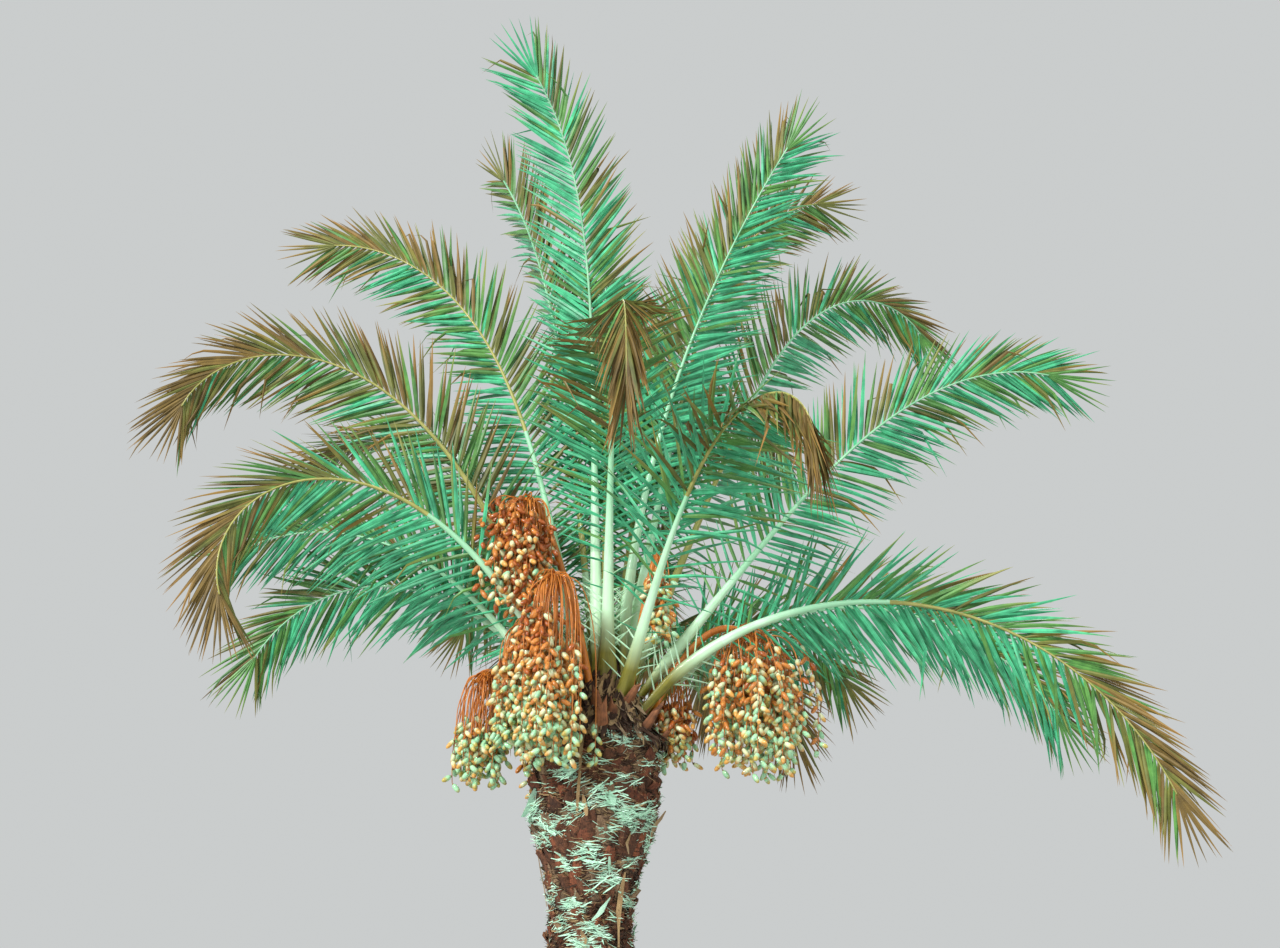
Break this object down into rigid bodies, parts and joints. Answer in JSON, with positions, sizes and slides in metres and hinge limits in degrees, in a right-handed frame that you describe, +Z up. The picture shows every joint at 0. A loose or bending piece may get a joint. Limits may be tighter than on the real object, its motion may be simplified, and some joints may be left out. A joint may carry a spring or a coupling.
{
  "type": "date palm tree",
  "caption": "Rooted date palm: boot-clad trunk with a swollen head, arching feathery fronds and hanging bunches of ripening dates.",
  "frame": {"origin": "middle of the flat cut under the trunk, at ground level", "axes": "+Z up the trunk, +X to the right and -Y toward the viewer in the palm's front view"},
  "size_m": [5.3297, 4.119, 7.4791],
  "materials": {
    "bark": "rough cut leaf bases with straw-coloured fibre mats",
    "frond_leaf": "waxy glaucous green leaflets, olive to dry brown at the drooping ends, on pale ribs",
    "fruit_stalk": "smooth orange fibrous stalk",
    "dates": "smooth waxy fruit, pale yellow-green to amber"
  },
  "bodies": {
    "root": {"bunch_back_dates": "dates", "bunch_back_stalk": "fruit_stalk", "bunch_centre_dates": "dates", "bunch_centre_stalk": "fruit_stalk", "bunch_left_front_dates": "dates", "bunch_left_front_stalk": "fruit_stalk", "bunch_left_high_dates": "dates", "bunch_left_high_stalk": "fruit_stalk", "bunch_left_low_dates": "dates", "bunch_left_low_stalk": "fruit_stalk", "bunch_left_outer_dates": "dates", "bunch_left_outer_stalk": "fruit_stalk", "bunch_right_inner_dates": "dates", "bunch_right_inner_stalk": "fruit_stalk", "bunch_right_outer_dates": "dates", "bunch_right_outer_stalk": "fruit_stalk", "frond_back_1": "frond_leaf", "frond_back_2": "frond_leaf", "frond_back_3_inner": "frond_leaf", "frond_back_3_outer": "frond_leaf", "frond_back_4_inner": "frond_leaf", "frond_back_4_outer": "frond_leaf", "frond_back_5_inner": "frond_leaf", "frond_back_5_outer": "frond_leaf", "frond_back_6": "frond_leaf", "frond_back_7": "frond_leaf", "frond_centre_1": "frond_leaf", "frond_centre_2_inner": "frond_leaf", "frond_centre_2_outer": "frond_leaf", "frond_centre_3_inner": "frond_leaf", "frond_centre_3_outer": "frond_leaf", "frond_centre_4": "frond_leaf", "frond_centre_5": "frond_leaf", "frond_centre_6": "frond_leaf", "frond_left_1_inner": "frond_leaf", "frond_left_1_outer": "frond_leaf", "frond_left_2_inner": "frond_leaf", "frond_left_2_outer": "frond_leaf", "frond_left_3_inner": "frond_leaf", "frond_left_3_outer": "frond_leaf", "frond_left_4_inner": "frond_leaf", "frond_left_4_outer": "frond_leaf", "frond_left_5_inner": "frond_leaf", "frond_left_5_outer": "frond_leaf", "frond_left_6_inner": "frond_leaf", "frond_left_6_outer": "frond_leaf", "frond_right_1_inner": "frond_leaf", "frond_right_1_outer": "frond_leaf", "frond_right_2_inner": "frond_leaf", "frond_right_2_outer": "frond_leaf", "frond_right_3": "frond_leaf", "frond_right_4_inner": "frond_leaf", "frond_right_4_outer": "frond_leaf", "frond_right_5_inner": "frond_leaf", "frond_right_5_outer": "frond_leaf", "frond_right_6_inner": "frond_leaf", "frond_right_6_outer": "frond_leaf", "frond_right_7": "frond_leaf", "trunk": "bark"}
  },
  "joints": []
}
